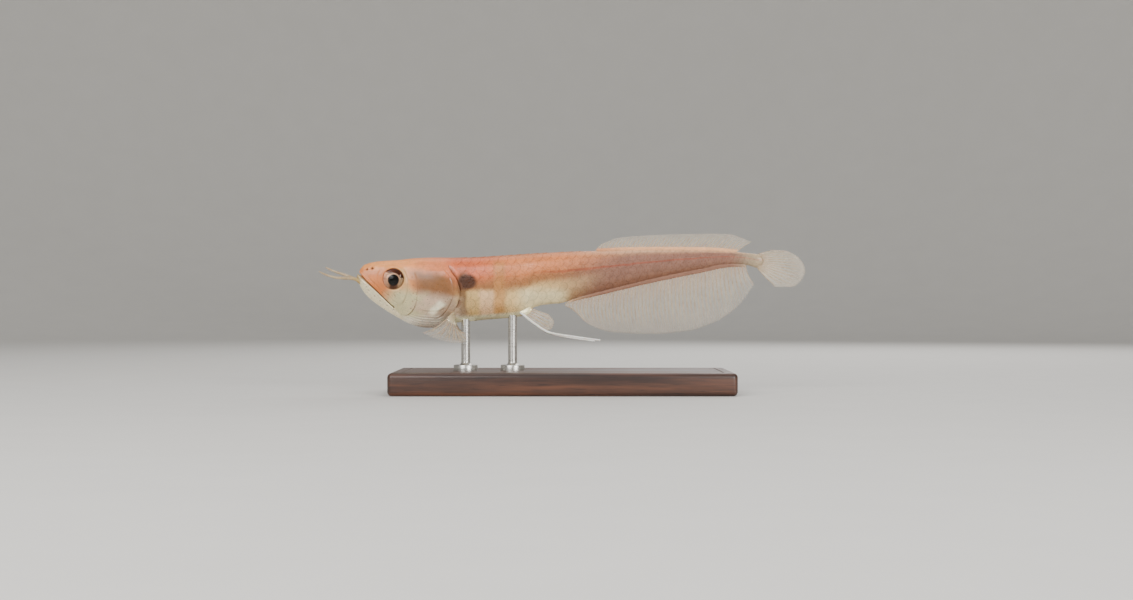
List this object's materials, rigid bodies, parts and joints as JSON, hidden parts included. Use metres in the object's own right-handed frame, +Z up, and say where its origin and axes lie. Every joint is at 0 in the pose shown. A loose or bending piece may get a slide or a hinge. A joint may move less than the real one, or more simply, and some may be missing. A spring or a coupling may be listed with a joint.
{
  "type": "silver arowana",
  "caption": "Young silver arowana swimming level: slender body, upturned mouth, chin barbels, trailing pelvic filaments and long low fins, on a plain display stand with rods.",
  "frame": {"origin": "on the underside of the stand's base, below the middle of the whole model's box", "axes": "+X towards the fish's tail, +Y towards the fish's right side, +Z up"},
  "size_m": [0.1296, 0.04, 0.0425],
  "materials": {
    "skin": "moist fish skin, peach-pink with pale belly",
    "gill_cover": "silvery white bone under moist skin",
    "eye": "wet eye, dark pupil, olive-silver iris",
    "barbel": "soft pale skin",
    "fin": "clear fin membrane with pale rays",
    "filament_fin": "white fin rays",
    "stand_base": "dark stained wood, satin",
    "stand_rod": "brushed steel"
  },
  "bodies": {
    "root": {"head": "skin", "jaw_lower": "skin", "gill_cover_left": "gill_cover", "gill_cover_right": "gill_cover", "eye_left": "eye", "eye_right": "eye", "barbel_left": "barbel", "barbel_right": "barbel", "trunk": "skin", "tail": "skin", "pectoral_fin_left": "fin", "pectoral_fin_right": "fin", "pelvic_fin_left": "filament_fin", "pelvic_fin_right": "filament_fin", "dorsal_fin": "fin", "anal_fin": "fin", "caudal_fin": "fin", "stand_base": "stand_base", "stand_rod_front": "stand_rod", "stand_rod_rear": "stand_rod"}
  },
  "joints": []
}
